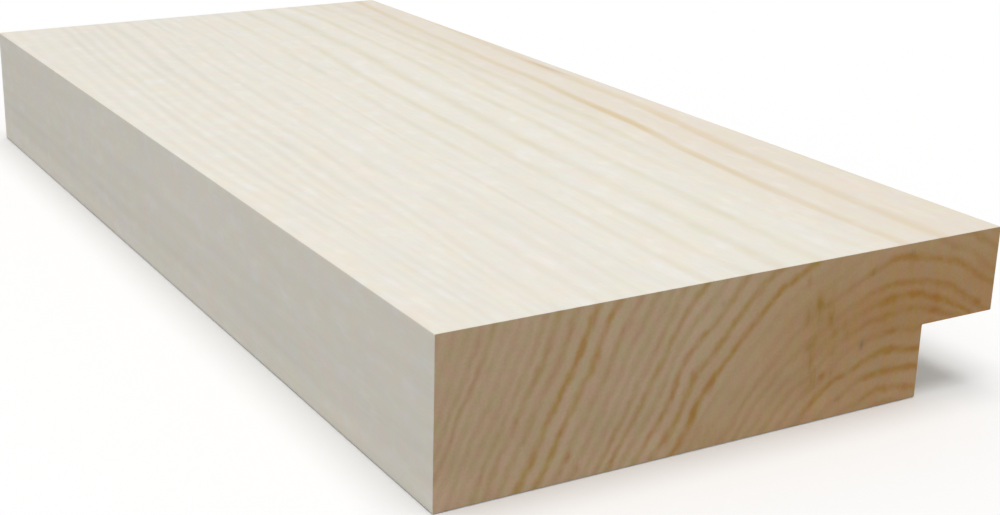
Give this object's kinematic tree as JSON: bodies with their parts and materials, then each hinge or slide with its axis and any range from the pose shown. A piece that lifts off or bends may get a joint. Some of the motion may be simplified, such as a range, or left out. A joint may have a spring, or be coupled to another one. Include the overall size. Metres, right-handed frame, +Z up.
{
  "type": "rebated timber plank",
  "caption": "Short planed softwood plank of rectangular section with a square rebate along one lower edge that leaves a tongue level with the top face.",
  "frame": {"origin": "centre of the overall box at the level of the underside, which the plank rests on", "axes": "+X across the width towards the rebated edge, +Y along the grain from the near sawn end to the far one, +Z up out of the top face"},
  "size_m": [0.174, 0.378, 0.045],
  "materials": {
    "timber": "matte"
  },
  "bodies": {
    "root": {"plank": "timber"}
  },
  "joints": []
}
